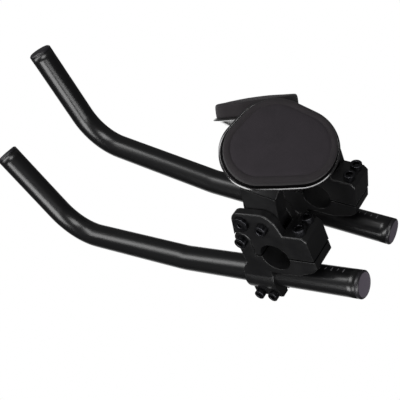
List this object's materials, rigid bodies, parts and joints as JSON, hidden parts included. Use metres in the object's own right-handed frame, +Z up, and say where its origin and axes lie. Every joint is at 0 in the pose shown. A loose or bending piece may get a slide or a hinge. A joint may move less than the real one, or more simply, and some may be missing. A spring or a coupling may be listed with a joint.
{
  "type": "clip-on aero handlebar extension set",
  "caption": "Pair of upward-bent tubular handlebar extensions, each in a split bar clamp that also carries a padded, cranked elbow rest.",
  "frame": {"origin": "on the axis of the handlebar that the clamps grip, midway between the two arms", "axes": "+X to the rider's right along the handlebar, +Y forwards along the extensions, +Z up"},
  "size_m": [0.1196, 0.3699, 0.1741],
  "materials": {
    "tube": "satin black anodised",
    "plug": "moulded black",
    "end_cap": "moulded dark grey",
    "casting": "satin black powder coat",
    "arm": "satin black powder coat",
    "bolt": "black oxide",
    "tray": "moulded gloss black",
    "fastener": "woven hook-and-loop",
    "pad": "stretch fabric over foam"
  },
  "bodies": {
    "root": {"left_extension_tube": "tube", "left_front_plug": "plug", "left_rear_cap": "end_cap", "left_clamp_base": "casting", "left_clamp_cap": "casting", "left_clamp_bolts": "bolt", "left_front_cross_bolt": "bolt", "left_front_cross_nut": "bolt", "left_collar_bolts": "bolt", "left_pivot_bolt": "bolt", "left_pivot_nut": "bolt", "left_side_screw": "bolt", "left_armrest_arm": "arm", "left_tray": "tray", "left_tray_screws": "bolt", "left_fastener_discs": "fastener", "left_pad": "pad", "right_extension_tube": "tube", "right_front_plug": "plug", "right_rear_cap": "end_cap", "right_clamp_base": "casting", "right_clamp_cap": "casting", "right_clamp_bolts": "bolt", "right_front_cross_bolt": "bolt", "right_front_cross_nut": "bolt", "right_collar_bolts": "bolt", "right_pivot_bolt": "bolt", "right_pivot_nut": "bolt", "right_side_screw": "bolt", "right_armrest_arm": "arm", "right_tray": "tray", "right_tray_screws": "bolt", "right_fastener_discs": "fastener", "right_pad": "pad"}
  },
  "joints": []
}
